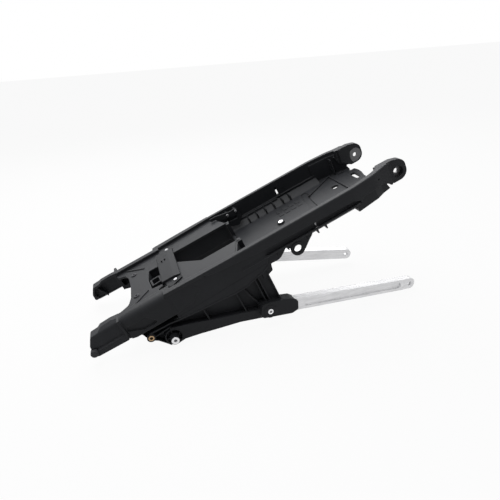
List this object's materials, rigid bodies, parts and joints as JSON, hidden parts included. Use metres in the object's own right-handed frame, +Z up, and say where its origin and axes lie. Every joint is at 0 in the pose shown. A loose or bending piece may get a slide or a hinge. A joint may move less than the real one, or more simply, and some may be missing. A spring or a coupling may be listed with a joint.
{
  "type": "motorcycle rear subframe",
  "caption": "Rear subframe of a dirt bike: ribbed plastic moulding with two side beams, deck and tray, carried by two aluminium struts.",
  "frame": {"origin": "centre of the bounding box at floor level, the part lying as it rests", "axes": "+X towards the front of the bike, +Y to the bike's left, +Z up; the rims of the beams climb 21.5 degrees towards the front"},
  "size_m": [0.6634, 0.2374, 0.2866],
  "materials": {
    "body_plastic": "satin fibre-filled moulding",
    "bracket_plastic": "satin",
    "peg_plastic": "satin",
    "seat_plastic": "satin",
    "strut_alloy": "brushed",
    "insert_alloy": "satin",
    "insert_steel": "satin",
    "screw_steel": "satin",
    "insert_brass": "dull"
  },
  "bodies": {
    "root": {"main_moulding": "body_plastic", "cross_bridge": "bracket_plastic", "side_bracket_left": "bracket_plastic", "strut_right": "strut_alloy", "strut_left": "strut_alloy", "strut_screw_right": "screw_steel", "strut_screw_left": "screw_steel", "lug_insert_right": "insert_alloy", "lug_insert_left": "insert_alloy", "rear_boss_insert_right": "insert_steel", "rear_boss_insert_left": "insert_steel", "front_boss_insert_right": "insert_steel", "front_boss_insert_left": "insert_steel", "brass_insert_right": "insert_brass", "brass_insert_left": "insert_brass", "tail_peg_right": "peg_plastic", "tail_peg_left": "peg_plastic", "bridge_screws": "screw_steel", "bracket_screws": "screw_steel", "deck_inserts": "seat_plastic", "tray_insert": "insert_steel"}
  },
  "joints": []
}
